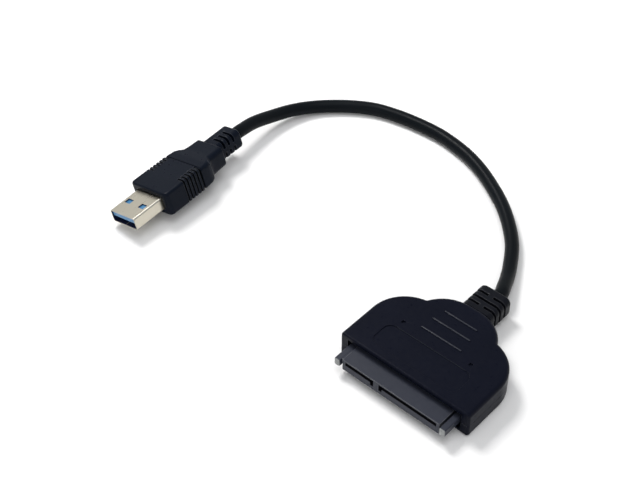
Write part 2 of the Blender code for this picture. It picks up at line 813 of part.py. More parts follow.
def grip_outline(side):
    """Groove that runs down one side of the moulding and wraps onto its top and bottom."""
    floor_x = moulding_width / 2 - grip_depth
    floor_z = moulding_height / 2 - grip_depth
    outer_x, outer_z = moulding_width / 2 + overcut, moulding_height / 2 + overcut
    points = [(grip_reach, outer_z), (outer_x, outer_z), (outer_x, -outer_z), (grip_reach, -outer_z),
              (grip_reach, -floor_z), (floor_x - grip_depth, -floor_z), (floor_x, grip_depth - floor_z),
              (floor_x, floor_z - grip_depth), (floor_x - grip_depth, floor_z), (grip_reach, floor_z)]
    return [(side * x, z) for x, z in points]


def slot_sector(start, end):
    """Part of a ring around the plug's sleeve, between two angles in degrees."""
    outer = max(plug_sleeve_width, plug_sleeve_height) / 2 + overcut
    return (arc((0, 0), outer, start, end, corner_steps)
            + arc((0, 0), plug_slot_core, end, start, corner_steps))


def make_moulding(look):
    moulding = loft("plug_moulding", moulding_stations())
    pocket_depth = shell_exposed + shell_hidden + tail_length + seam_gap
    cut(moulding, loft("plug_pocket", [
        (shell_exposed - overcut, shell_width + 2 * seam_gap, shell_height + 2 * seam_gap,
         shell_corner + seam_gap),
        (pocket_depth, shell_width + 2 * seam_gap, shell_height + 2 * seam_gap, shell_corner + seam_gap)]))
    for index in range(grip_count):
        y = grip_first + index * grip_pitch
        for side in (-1, 1):
            cut(moulding, plate(f"grip_{index}_{side}", grip_outline(side), y - grip_width / 2,
                                y + grip_width / 2, "Y"))
    for index in range(3):
        y = plug_slot_first + index * plug_slot_pitch
        low, high = y - plug_slot_width / 2, y + plug_slot_width / 2
        for start, end in ((10, 100), (-80, -10), (190, 260)):
            cut(moulding, plate(f"plug_slot_{index}_{start}", slot_sector(start, end), low, high, "Y"))
    return as_part(on_plug(moulding), "plug_moulding", look)


def make_shell(look):
    length = shell_exposed + shell_hidden
    shell = loft("plug_shell", [(0.0, shell_width, shell_height, shell_corner),
                                (length, shell_width, shell_height, shell_corner)])
    inner_corner = shell_corner - shell_sheet
    cut(shell, loft("shell_bore", [
        (-overcut, shell_width - 2 * shell_sheet, shell_height - 2 * shell_sheet, inner_corner),
        (length + overcut, shell_width - 2 * shell_sheet, shell_height - 2 * shell_sheet, inner_corner)]))
    for side in (-1, 1):
        x = side * window_spacing / 2
        low = (x - window_width / 2, window_setback - window_depth / 2, -shell_height)
        high = (x + window_width / 2, window_setback + window_depth / 2, shell_height)
        cut(shell, box(f"window_{side}", low, high))
    cut(shell, box("shell_seam", (-shell_seam / 2, -overcut, -shell_height),
                   (shell_seam / 2, length + overcut, 0.0)))
    return as_part(on_plug(shell), "plug_shell", look)


tongue_top = shell_height / 2 - shell_sheet - tongue_side_gap
tongue_bottom = tongue_top - tongue_thickness
tongue_half = shell_width / 2 - shell_sheet - tongue_side_gap
block_end = shell_exposed + shell_hidden
block_start = block_end - tongue_block_depth
flat_level = tongue_bottom + flat_contact_thickness / 2
rear_level = tongue_bottom - rear_contact_drop


def channel(x, width, level, front, back):
    """Corners of the channel that a contact lies in."""
    half = width / 2 + contact_gap
    reach = flat_contact_thickness / 2 + contact_gap
    return Vector((x - half, front, level - reach)), Vector((x + half, back, level + reach))


def make_tongue(look):
    tongue = box("plug_tongue", (-tongue_half, tongue_setback, tongue_bottom),
                 (tongue_half, block_end, tongue_top))
    join(tongue, box("tongue_block", (-tongue_half, block_start, -tongue_top), (tongue_half, block_end, 0.0)))
    shape = bmesh.new()
    flat_front, back = flat_contact_setback - contact_gap, block_end + overcut
    channels = [channel(x, flat_contact_width, flat_level, flat_front, back) for x in flat_contact_places]
    channels += [channel(x, rear_contact_width, rear_level, block_start - overcut, back)
                 for x in rear_contact_places]
    for low, high in channels:
        bmesh.ops.create_cube(shape, size=1.0, matrix=Matrix.LocRotScale((low + high) / 2, None, high - low))
    cut(tongue, mesh_object("tongue_channels", shape))
    return as_part(on_plug(tongue), "plug_tongue", look)


def make_plug_contacts(look):
    tail = block_end + tail_length
    for index, x in enumerate(flat_contact_places):
        name = f"plug_contact_{index + 1}"
        half = flat_contact_width / 2
        low = flat_level - flat_contact_thickness / 2
        bar = box(name, (x - half, flat_contact_setback, low), (x + half, tail, low + flat_contact_thickness))
        as_part(on_plug(bar), name, look)
    nose, dip = block_start - rear_contact_reach, rear_contact_drop / 4
    path = [(nose, rear_level + dip), (nose + rear_contact_reach / 4, rear_level - dip),
            (nose + rear_contact_reach / 2, rear_level), (tail, rear_level)]
    half = rear_contact_width / 2
    for index, x in enumerate(rear_contact_places):
        name = f"plug_rear_contact_{index + 1}"
        bar = strip(name, path, flat_contact_thickness, x - half, x + half)
        as_part(on_plug(bar), name, look)


def make_cable(look):
    """Jacket from the sleeve's end face to the plug's end face, square to both of them."""
    turn = Euler(plug_turn, "XYZ").to_matrix()
    ahead = Vector((-2 * sleeve_lean / sleeve_length, 1.0, 0.0)).normalized()
    first = Vector((lean_at(sleeve_end_y), sleeve_end_y, split_height)) + ahead * seam_gap
    start = [first, first + ahead * cable_straight]
    end = [settled_plug() + turn @ Vector((0.0, plug_length + seam_gap + straight, 0.0))
           for straight in (cable_straight, 0.0)]
    middle = smooth_points([start[1], *cable_route, end[0]], cable_spacing)
    return as_part(tube("cable", [start[0], *middle, end[1]], cable_diameter, 3), "cable", look)


housing_look = material("housing_black", (0.012, 0.013, 0.016), 0.42)
connector_look = material("connector_grey", (0.055, 0.057, 0.066), 0.40)
gold_look = material("contact_gold", (0.83, 0.61, 0.26), 0.25, 1.0)
board_look = material("board_green", (0.02, 0.11, 0.05), 0.45)
chip_look = material("chip_black", (0.015, 0.015, 0.016), 0.50)
steel_look = material("crystal_can", (0.62, 0.62, 0.60), 0.30, 1.0)
ferrite_look = material("inductor_ferrite", (0.05, 0.05, 0.05), 0.65)
capacitor_look = material("capacitor_tan", (0.42, 0.27, 0.14), 0.45)
sleeve_look = material("sleeve_black", (0.010, 0.011, 0.013), 0.50)
cable_look = material("cable_black", (0.012, 0.012, 0.014), 0.45)
moulding_look = material("moulding_black", (0.011, 0.012, 0.015), 0.42)
nickel_look = material("shell_nickel", (0.72, 0.70, 0.64), 0.28, 1.0)
blue_look = material("tongue_blue", (0.06, 0.16, 0.60), 0.40)

make_housing_top(housing_look)
make_housing_bottom(housing_look)
make_connector(connector_look)
make_contacts(gold_look)
make_board(board_look)
make_components()
make_strain_relief(sleeve_look)
make_wires()
make_moulding(moulding_look)
make_shell(nickel_look)
make_tongue(blue_look)
make_plug_contacts(gold_look)
make_cable(cable_look)
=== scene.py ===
"""Looks of the drive adapter: fine shells, mouldings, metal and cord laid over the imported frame.

Metres, +Z up. Sizes repeat those of the part's source, because this script reads only the frame.
"""
import math

import bmesh
import bpy
from mathutils import Euler, Matrix, Vector


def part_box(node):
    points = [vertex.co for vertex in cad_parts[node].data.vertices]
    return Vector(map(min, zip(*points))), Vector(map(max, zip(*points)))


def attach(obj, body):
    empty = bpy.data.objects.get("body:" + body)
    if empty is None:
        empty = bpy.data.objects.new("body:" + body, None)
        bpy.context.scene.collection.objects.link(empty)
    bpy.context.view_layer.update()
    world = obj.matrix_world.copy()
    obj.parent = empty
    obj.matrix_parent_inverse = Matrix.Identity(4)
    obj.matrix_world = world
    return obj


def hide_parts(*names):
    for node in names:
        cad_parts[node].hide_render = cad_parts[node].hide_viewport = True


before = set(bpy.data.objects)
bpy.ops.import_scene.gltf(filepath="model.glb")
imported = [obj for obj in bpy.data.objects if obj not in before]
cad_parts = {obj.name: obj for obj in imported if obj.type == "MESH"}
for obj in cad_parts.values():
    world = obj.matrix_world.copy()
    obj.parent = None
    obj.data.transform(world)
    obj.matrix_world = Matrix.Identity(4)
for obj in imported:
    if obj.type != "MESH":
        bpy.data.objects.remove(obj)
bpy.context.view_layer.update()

# Housing of the drive end
housing_width = 0.0472
housing_height = 0.0092
body_corner = 0.0129
front_corner = 0.0008
neck_width = 0.0290
neck_corner = 0.0125
notch_radius = 0.0010
wall = 0.0016
floor_thickness = 0.0012
ceiling = 0.0077
top_rounding = 0.0013
front_rounding = 0.0005
bottom_rounding = 0.0009
split_height = 0.0044
shell_seam_gap = 0.00006
lip_height = 0.0008
lip_inset = 0.0010
rebate_inset = 0.0007
mouth_half = 0.0208
boss_radius = 0.0012
boss_sides = 24
boss_rise = 0.0011
boss_side_x = 0.0145
boss_rows = (-0.01005, -0.00005)

# Stations of the drive end along Y
nose_y = -0.02505
face_y = -0.01925
body_rear_y = 0.00825
neck_rear_y = 0.01485
sleeve_end_y = 0.02605
base_front_y = -0.01635
base_rear_y = -0.01335

# Relief on the upper shell
recess_width = 0.0308
recess_depth = 0.00025
recess_front = 0.0032
recess_rear = 0.0125
recess_corner = 0.0028
ridge_height = 0.0003
ridge_width = 0.0006
ridges = ((0.0174, 0.0150), (0.02225, 0.0140), (0.02675, 0.0122))
ridge_ends = ((0.0, 0.35), (0.3, 0.75), (1.0, 1.0))
ridge_profile = ((1.0, 0.45), (0.7, 0.85), (0.3, 1.0))
pit_spacing = 0.0248
pit_setback = 0.0153
pit_size = 0.0011
pit_depth = 0.0005
recess_rim = 0.00010
pit_rim = 0.00012
# Reach of the painted highlight along the recess's rear rim, and the share of a ridge's height above which
# its crown gets a painted highlight
rim_reach = 0.0003
crown_share = 0.9

# Connector of the drive end
nose_width = 0.0356
nose_bottom = 0.0021
nose_top = 0.0063
arm_outer_width = 0.0406
arm_thickness = 0.0020
arm_lead = 0.0010
arm_bottom = 0.0034
arm_top = 0.0060
arm_corner = 0.00035
arm_tip_rounding = 0.0007
arm_root = 0.0015
# Faces of the arm tips ahead of this share of the arms' lead get a painted highlight
arm_tip_share = 0.55
web_setback = 0.0005
slot_height = 0.00131
slot_bottom = 0.00455
slot_depth = 0.0064
key_leg_width = 0.00117
key_leg_height = 0.0024
signal_slot = (-0.0167, 0.01057)
power_slot = (-0.00413, 0.02083)
slot_margin = 0.0002
signal_count = 7
power_count = 15
contact_half = 0.0004
contact_level = 0.00475
contact_reach = 0.0002

# Sleeve where the cable leaves the housing
sleeve_width = 0.0110
sleeve_height = 0.0071
sleeve_corner = 0.0020
sleeve_waist = (0.0078, 0.0046)
sleeve_flange = (0.0100, 0.0058)
flange_rear_y = 0.01235
flange_front_y = 0.01095
sleeve_end_rounding = 0.0010
sleeve_end_fade = 0.4
sleeve_chamfer = 0.0002
sleeve_ring_spacing = 0.0012
sleeve_ring_count = 8
sleeve_edge_start = 0.0010
sleeve_slot_places = (0.0177, 0.02015, 0.0226)
sleeve_slot_width = 0.0009
sleeve_slot_depth = 0.0011
sleeve_slot_corner = 0.0008
sleeve_bridge = 0.0018
sleeve_lean = 0.0001
sleeve_length = 0.0112

# Metal shell and insulator of the plug
shell_width = 0.0120
shell_height = 0.0045
shell_sheet = 0.0003
shell_corner = 0.0006
shell_exposed = 0.0123
shell_length = 0.0176
window_width = 0.0025
window_depth = 0.0021
window_spacing = 0.0067
window_setback = 0.0063
shell_seam = 0.00012
tongue_setback = 0.0005
tongue_thickness = 0.0019
tongue_half = 0.0055
tongue_top = 0.00175
tongue_block_front = 0.0114
flat_contacts = (-0.0035, -0.0010, 0.0010, 0.0035)
rear_contacts = (-0.0040, -0.0020, 0.0, 0.0020, 0.0040)
flat_contact_half = 0.0006
rear_contact_half = 0.0004
plug_channel_reach = 0.000225
plug_channel_front = 0.0011
flat_level = -0.000025
rear_level = -0.00095

# Moulding of the plug
moulding_width = 0.0179
moulding_height = 0.0087
moulding_corner = 0.0010
moulding_face_rounding = 0.0006
moulding_front_corner = 0.0016
step_setback = 0.0284
step_drop = 0.0002
step_groove = 0.00022
step_places = (0.00005, 0.00045, 0.00050)
step_margins = (0.0001, 0.0006)
shoulder_start = 0.0312
shoulder_width = 0.0172
shoulder_setback = 0.0330
shoulder_corner = 0.0018
shoulder_drop = 0.0016
shoulder_foot = 0.0345
shoulder_bow = 0.0003
shoulder_lip = 0.0003
shoulder_lip_inset = 0.0005
collar_width = 0.0133
collar_height = 0.0077
collar_setback = 0.0364
collar_end = 0.0413
collar_rise = 0.0006
collar_inset = 0.0004
plug_sleeve_width = 0.0081
plug_sleeve_height = 0.0071
plug_sleeve_corner = 0.0018
plug_length = 0.0520
pocket_gap = 0.0003
pocket_end = 0.0193
grip_first = 0.0208
grip_pitch = 0.00146
grip_count = 6
grip_width = 0.00075
grip_depth = 0.0005
grip_reach = 0.0060
grip_end_slope = 0.0004
grip_shade_share = 0.4
plug_slot_count = 3
plug_slot_first = 0.0439
plug_slot_pitch = 0.0022
plug_slot_width = 0.0010
plug_slot_core = 0.0026
plug_slot_sectors = ((10, 100), (-80, -10), (190, 260))
plug_turn = (math.radians(3.4), math.radians(-13.7), math.radians(0.45))

# Cable and its route through the middle of the jacket, between its two straight ends
cable_diameter = 0.00465
cable_gap = 0.0003
jacket_gap = 0.00005
cable_straight = 0.0025
cable_spacing = 0.0016
cable_route = (
    (-0.0019, 0.0327, 0.0036),
    (-0.0037, 0.0368, 0.0028),
    (-0.0063, 0.0419, 0.0024),
    (-0.0113, 0.0499, 0.0024),
    (-0.0176, 0.0569, 0.0024),
    (-0.0246, 0.0630, 0.0024),
    (-0.0321, 0.0680, 0.0024),
    (-0.0400, 0.0724, 0.0024),
    (-0.0479, 0.0756, 0.0024),
    (-0.0560, 0.0775, 0.0024),
    (-0.0641, 0.0784, 0.0024),
    (-0.0742, 0.0778, 0.0024),
    (-0.0819, 0.0765, 0.0024),
    (-0.0892, 0.0743, 0.0024),
    (-0.0956, 0.0705, 0.0024),
    (-0.1014, 0.0658, 0.0024),
    (-0.1063, 0.0601, 0.0027),
    (-0.1096, 0.0533, 0.0036),
    (-0.1114, 0.0447, 0.0051),
    (-0.1118, 0.0356, 0.0073),
)

# Fineness of the meshes
corner_steps = 8
rear_steps = 32
rim_steps = 8
dip_steps = 4
curve_steps = 24
cable_steps = 10
floor_cells = 8
overcut = 0.001
hair = 0.00001
doubled_distance = 2e-7
weld_distance = 2e-6

# Rounded edges: their widths, and the angles in degrees above which an edge counts as sharp
housing_edge = 0.00009
connector_edge = 0.00014
moulding_edge = 0.00010
shell_edge = 0.00009
tongue_edge = 0.00010
packed_edge = 0.00004
sharp_angle = 30.0
moulding_sharp_angle = 38.0
round_sharp_angle = 40.0

# How far a face has to turn toward an axis to get a painted highlight or a painted shade
rim_turn = 0.2
shoulder_turn = 0.4
fold_turn = 0.15
wall_turn = 0.5

# Finishes: detail of the noise, and how colour and roughness follow it
cloud_detail = 3.0
patch_detail = 4.0
grain_detail = 3.0
patches_per_cloud = 9
patch_levels = (0.3, 0.7)
pale_divisor = 400
streak_stretch = (0.02, 1.0, 1.0)

# Camera and light
camera_place = (0.14496, -0.21637, 0.29503)
camera_right = (0.7447, 0.6674, 0.0)
camera_up = (-0.4620, 0.5155, 0.7218)
camera_lens = 74.12
camera_sensor = 36.0
camera_clip = 0.01
floor_half = 2.0
light_aim = (-0.05, 0.02, 0.0)
cool_light = (0.97, 0.98, 1.0)
lights = (
    ("key_light", (-0.28, 0.05, 0.42), 0.16, 0.16, 2.0, (1.0, 0.99, 0.98)),
    ("top_light", (0.15, -0.05, 1.15), 0.8, 0.8, 4.5, cool_light),
    ("front_light", (0.20, -1.0, 0.45), 0.5, 0.3, 1.3, cool_light),
)
surround_shades = ((0.60, 0.70), (0.84, 0.22))

turn_of_plug = Euler(plug_turn, "XYZ").to_matrix()


def settled_plug():
    """Place of the middle of the shell's mouth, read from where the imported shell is."""
    low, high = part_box("plug_shell")
    return (low + high) / 2 - turn_of_plug @ Vector((0.0, shell_length / 2, 0.0))


plug_place = Matrix.Translation(settled_plug()) @ turn_of_plug.to_4x4()


def set_camera():
    """The photo's camera, with its axes made square to each other."""
    back = Vector(camera_right).cross(Vector(camera_up)).normalized()
    up = back.cross(Vector(camera_right)).normalized()
    right = up.cross(back)
    turn = Matrix((right, up, back)).transposed()
    lens = bpy.data.cameras.new("camera")
    lens.lens, lens.sensor_width, lens.sensor_fit = camera_lens, camera_sensor, "HORIZONTAL"
    lens.clip_start = camera_clip
    camera = bpy.data.objects.new("camera", lens)
    camera.matrix_world = Matrix.Translation(Vector(camera_place)) @ turn.to_4x4()
    bpy.context.scene.collection.objects.link(camera)
    bpy.context.scene.camera = camera


def area_light(name, offset, width, height, power, colour):
    """A soft light at an offset from the point that all lights are turned to."""
    lamp = bpy.data.lights.new(name, "AREA")
    lamp.shape, lamp.size, lamp.size_y = "RECTANGLE", width, height
    lamp.energy, lamp.color = power, colour
    item = bpy.data.objects.new(name, lamp)
    aim = Vector(light_aim)
    place = aim + Vector(offset)
    item.matrix_world = (Matrix.Translation(place)
                         @ (aim - place).to_track_quat("-Z", "Y").to_matrix().to_4x4())
    bpy.context.scene.collection.objects.link(item)


def set_stage():
    """A pale floor, soft lights, and a surround that is pale near the floor and dim above."""
    shape = bmesh.new()
    bmesh.ops.create_grid(shape, x_segments=floor_cells, y_segments=floor_cells, size=floor_half)
    mesh = bpy.data.meshes.new("floor")
    shape.to_mesh(mesh)
    shape.free()
    floor = bpy.data.objects.new("floor", mesh)
    bpy.context.scene.collection.objects.link(floor)
    mesh.materials.append(look("floor_paper", (0.88, 0.88, 0.88), 0.9, specular=0.1, mottle=0.01,
                               grain_scale=3000, grain_depth=4e-6))
    for light in lights:
        area_light(*light)
    world = bpy.data.worlds.new("surround")
    world.use_nodes = True
    tree = world.node_tree
    place = add_node(tree, "ShaderNodeTexCoord")
    split = add_node(tree, "ShaderNodeSeparateXYZ")
    ramp = add_node(tree, "ShaderNodeValToRGB")
    for stop, (height, shade) in zip(ramp.color_ramp.elements, surround_shades):
        stop.position, stop.color = height, (shade, shade, shade, 1.0)
    tree.links.new(place.outputs["Generated"], split.inputs["Vector"])
    tree.links.new(split.outputs["Z"], ramp.inputs["Fac"])
    tree.links.new(ramp.outputs["Color"], tree.nodes["Background"].inputs["Color"])
    bpy.context.scene.world = world
    bpy.context.scene.view_settings.view_transform = "Standard"


def add_node(tree, kind, inputs=(), **settings):
    """A shader node with its settings and its unlinked inputs filled in."""
    made = tree.nodes.new(kind)
    for name, value in settings.items():
        setattr(made, name, value)
    for socket, value in dict(inputs).items():
        made.inputs[socket].default_value = value
    return made


def noise(tree, place, scale, detail=2.0, stretch=(1.0, 1.0, 1.0), source="Object"):
    """Noise over the piece's own coordinates, drawn out along an axis where stretch is small."""
    spread = add_node(tree, "ShaderNodeMapping", {"Scale": stretch})
    tree.links.new(place.outputs[source], spread.inputs["Vector"])
    made = add_node(tree, "ShaderNodeTexNoise", {"Scale": scale, "Detail": detail})
    tree.links.new(spread.outputs["Vector"], made.inputs["Vector"])
    return made.outputs["Fac"]


def look(name, colour, roughness, metallic=0.0, specular=0.5, mottle=0.08, mottle_scale=90.0,
         spread=0.05, grain_scale=7000.0, grain_depth=5e-6, stretch=(1.0, 1.0, 1.0), source="Object",
         streak_scale=0.0, streak_depth=0.0):
    """Procedural finish: cloudy colour and roughness over a fine grain, with drawn streaks if wanted."""
    made = bpy.data.materials.new(name)
    made.use_nodes = True
    tree = made.node_tree
    shader = tree.nodes["Principled BSDF"]
    shader.inputs["Metallic"].default_value = metallic
    shader.inputs["Specular IOR Level"].default_value = specular
    place = add_node(tree, "ShaderNodeTexCoord")
    clouds = noise(tree, place, mottle_scale, cloud_detail)
    pale = [min(c * (1 + 2 * mottle) + mottle / pale_divisor, 1.0) for c in colour]
    blend = add_node(tree, "ShaderNodeMix", data_type="RGBA")
    blend.inputs["A"].default_value = (*[c * (1 - mottle) for c in colour], 1.0)
    blend.inputs["B"].default_value = (*pale, 1.0)
    tree.links.new(clouds, blend.inputs["Factor"])
    tree.links.new(blend.outputs["Result"], shader.inputs["Base Color"])
    patches = noise(tree, place, mottle_scale * patches_per_cloud, patch_detail, stretch)
    ramp = add_node(tree, "ShaderNodeMapRange", {"From Min": patch_levels[0], "From Max": patch_levels[1],
                                                 "To Min": roughness - spread, "To Max": roughness + spread})
    tree.links.new(patches, ramp.inputs["Value"])
    tree.links.new(ramp.outputs["Result"], shader.inputs["Roughness"])
    grain = noise(tree, place, grain_scale, grain_detail, stretch)
    bump = add_node(tree, "ShaderNodeBump", {"Strength": 1.0, "Distance": grain_depth})
    tree.links.new(grain, bump.inputs["Height"])
    if streak_depth:
        lines = noise(tree, place, streak_scale, stretch=streak_stretch, source=source)
        drawn = add_node(tree, "ShaderNodeBump", {"Strength": 1.0, "Distance": streak_depth})
        tree.links.new(lines, drawn.inputs["Height"])
        tree.links.new(bump.outputs["Normal"], drawn.inputs["Normal"])
        bump = drawn
    tree.links.new(bump.outputs["Normal"], shader.inputs["Normal"])
    return made


def arc(centre, radius, start, end, steps):
    """Points on an arc from one angle in degrees to another."""
    angles = [math.radians(start + (end - start) * step / steps) for step in range(steps + 1)]
    return [(centre[0] + radius * math.cos(a), centre[1] + radius * math.sin(a)) for a in angles]


def section(width, height, corner):
    """Points of a rounded rectangle in the XZ plane, the same number at any size."""
    a, b = width / 2 - corner, height / 2 - corner
    points = []
    for x, z, start in ((a, b, 0), (-a, b, 90), (-a, -b, 180), (a, -b, 270)):
        points += arc((x, z), corner, start, start + 90, corner_steps)
    return points


def mesh_object(name, shape):
    """An object in the scene from a bmesh, which is used up."""
    bmesh.ops.recalc_face_normals(shape, faces=shape.faces)
    mesh = bpy.data.meshes.new(name)
    shape.to_mesh(mesh)
    shape.free()
    item = bpy.data.objects.new(name, mesh)
    bpy.context.scene.collection.objects.link(item)
    return item


def add_rings(shape, rings):
    """Adds a closed body through equal rings of points to a bmesh."""
    rows = [[shape.verts.new(point) for point in ring] for ring in rings]
    for near, far in zip(rows, rows[1:]):
        for index in range(len(near)):
            following = (index + 1) % len(near)
            shape.faces.new((near[index], near[following], far[following], far[index]))
    shape.faces.new(rows[0][::-1])
    shape.faces.new(rows[-1])


def solid(name, *bodies):
    """One object of one or more closed bodies, each given as its rings."""
    shape = bmesh.new()
    for rings in bodies:
        add_rings(shape, rings)
    return mesh_object(name, shape)


def prism(outline, low, high, axis):
    """Rings of a flat outline drawn out between two levels along X, Y or Z."""
    order = {"X": lambda a, b, c: (c, a, b), "Y": lambda a, b, c: (a, c, b), "Z": lambda a, b, c: (a, b, c)}
    return [[order[axis](a, b, level) for a, b in outline] for level in (low, high)]


def slab(low, high):
    """Rings of a block between two corners."""
    outline = [(low[0], low[1]), (high[0], low[1]), (high[0], high[1]), (low[0], high[1])]
    return prism(outline, low[2], high[2], "Z")


def lofted(stations, lift=0.0):
    """Rings through rounded sections, each given as its Y, width, height and corner radius."""
    return [[(x, y, z + lift) for x, z in section(width, height, corner)]
            for y, width, height, corner in stations]


def carve(item, cutter, operation="DIFFERENCE"):
    """Applies one Boolean to a piece and removes its cutter."""
    step = item.modifiers.new("carve", "BOOLEAN")
    step.operation, step.solver, step.object = operation, "EXACT", cutter
    made = bpy.data.meshes.new_from_object(item.evaluated_get(bpy.context.evaluated_depsgraph_get()))
    item.modifiers.remove(step)
    item.data = made
    bpy.data.objects.remove(cutter, do_unlink=True)
    return item


def soften(item, width, keep=lambda edge: True, segments=2, limit=sharp_angle):
    """Rounds the outward edges that keep allows with the piece's second finish, which is wear together with
    a painted highlight (on the metal shell a painted shade), and leaves the other edges sharp.
    """
    shape = bmesh.new()
    shape.from_mesh(item.data)
    bmesh.ops.remove_doubles(shape, verts=shape.verts, dist=doubled_distance)
    weights = shape.edges.layers.float.new("bevel_weight_edge")
    for edge in shape.edges:
        if len(edge.link_faces) != 2:
            continue
        angle = math.degrees(edge.calc_face_angle_signed())
        if angle > limit and keep(edge):
            edge[weights] = 1.0
        elif abs(angle) > limit:
            edge.smooth = False
    for face in shape.faces:
        face.smooth = True
    wide = [face for face in shape.faces if len(face.verts) > 4]
    bmesh.ops.triangulate(shape, faces=wide, ngon_method="BEAUTY")
    shape.to_mesh(item.data)
    shape.free()
    rounding = item.modifiers.new("rounding", "BEVEL")
    rounding.limit_method, rounding.width, rounding.segments = "WEIGHT", width, segments
    rounding.use_clamp_overlap = False
    # The rounds take the second finish: wear and a painted highlight, or on the metal shell a painted shade.
    rounding.material = 1
    joined = item.modifiers.new("joined", "WELD")
    joined.merge_threshold = weld_distance
    evened = item.modifiers.new("evened", "WEIGHTED_NORMAL")
    evened.keep_sharp = True
    return item


def place_piece(item, name, finishes, slot, *nodes):
    """Gives a piece its finishes, the plain one first and then those for wear with painted highlight and for
    painted shade, and hides the CAD nodes it stands for.
    """
    item.name = name
    for used in finishes:
        item.data.materials.append(used)
    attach(item, "root")
    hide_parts(*nodes)
    return item


def middle(edge):
    """Middle of an edge of a bmesh."""
    return (edge.verts[0].co + edge.verts[1].co) / 2


def meeting_point(first, first_radius, second, second_radius):
    """Right-hand point where two circles meet."""
    between = second - first
    apart = between.length
    along = (first_radius ** 2 - second_radius ** 2 + apart ** 2) / (2 * apart)
    aside = math.sqrt(first_radius ** 2 - along ** 2)
    ahead = between / apart
    return first + ahead * along + Vector((ahead.y, -ahead.x)) * aside


def angle_to(start, end):
    """Direction in degrees from one point to another in the plane."""
    return math.degrees(math.atan2(end.y - start.y, end.x - start.x))


def housing_outline(inset, front_inset):
    """Outline of the body and its neck, drawn in from the outer face, with a small round in each notch."""
    body = Vector((housing_width / 2 - body_corner, body_rear_y - body_corner))
    neck = Vector((neck_width / 2 - neck_corner, neck_rear_y - neck_corner))
    notch = meeting_point(body, body_corner + notch_radius, neck, neck_corner + notch_radius)
    corner = max(front_corner - max(inset, front_inset), front_corner / 8)
    corner_centre = (housing_width / 2 - inset - corner, face_y + front_inset + corner)
    right = arc(corner_centre, corner, -90, 0, corner_steps)
    right += arc(body, body_corner - inset, 0, angle_to(body, notch), rear_steps)
    right += arc(notch, notch_radius + inset, angle_to(body, notch) - 180, angle_to(neck, notch) - 180,
                 corner_steps)[1:]
    right += arc(neck, neck_corner - inset, angle_to(neck, notch), 90, rear_steps)[1:]
    return right + [(-x, y) for x, y in reversed(right)]


def housing_rings(levels):
    """Rings of the housing's outline, each given as its height, inset and front inset."""
    return [[(x, y, level) for x, y in housing_outline(inset, front_inset)]
            for level, inset, front_inset in levels]


def rounded_levels(flat, rim, radius, front_radius):
    """Levels from a flat end up or down to a rounded rim."""
    way = 1 if rim > flat else -1
    seam = shell_seam_gap / 2
    levels = [(flat, seam, seam), (flat + way * seam, 0.0, 0.0)]
    for step in range(rim_steps + 1):
        turn = math.radians(90 * step / rim_steps)
        rise = radius * math.sin(turn)
        beyond = max(rise - (radius - front_radius), 0.0)
        front = front_radius - math.sqrt(max(front_radius ** 2 - beyond ** 2, 0.0))
        levels.append((rim - way * (radius - rise), radius * (1 - math.cos(turn)), front))
    return levels


def cut_openings(shell):
    """The mouth around the connector, and the hole that holds the sleeve's waist."""
    carve(shell, solid("mouth", slab((-mouth_half, face_y - overcut, floor_thickness),
                                     (mouth_half, face_y + wall + overcut, ceiling))))
    hole = (sleeve_waist[0] + 2 * cable_gap, sleeve_waist[1] + 2 * cable_gap, sleeve_corner)
    carve(shell, solid("cable_hole", lofted([(neck_rear_y - wall - overcut, *hole),
                                             (neck_rear_y + overcut, *hole)], split_height)))


def hollow(shell, inset, low, high):
    """Clears the inside of a housing shell between two levels."""
    carve(shell, solid("hollow", housing_rings([(low, inset, inset), (high, inset, inset)])))


def dip_rings(centre, size, corner, depth, rim):
    """Cutter for a rounded rectangular dip in the upper shell, flared so that its rim comes out rounded."""
    levels = [(housing_height - depth, 0.0)]
    for step in range(dip_steps + 1):
        turn = math.radians(90 * step / dip_steps)
        levels.append((housing_height - rim + rim * math.sin(turn), rim * (1 - math.cos(turn))))
    levels.append((housing_height + overcut, rim))
    rings = []
    for level, flare in levels:
        outline = section(size[0] + 2 * flare, size[1] + 2 * flare, corner + flare)
        rings.append([(centre[0] + a, centre[1] + b, level) for a, b in outline])
    return rings


def ridge_rings(y, length):
    """A low bar across the shell with rounded top and ends, as sections from end to end."""
    half = ridge_width / 2
    places = [(half * along - length / 2, fullness) for along, fullness in ridge_ends]
    places += [(-x, fullness) for x, fullness in reversed(places)]
    base = housing_height - ridge_height
    made = []
    for x, fullness in places:
        across = half * fullness
        crown = ridge_height * fullness
        top = [(across * share, housing_height + crown * rise) for share, rise in ridge_profile]
        outline = [(-across, base), (across, base), *top, *((-offset, z) for offset, z in reversed(top))]
        made.append([(x, y + offset, z) for offset, z in outline])
    return made


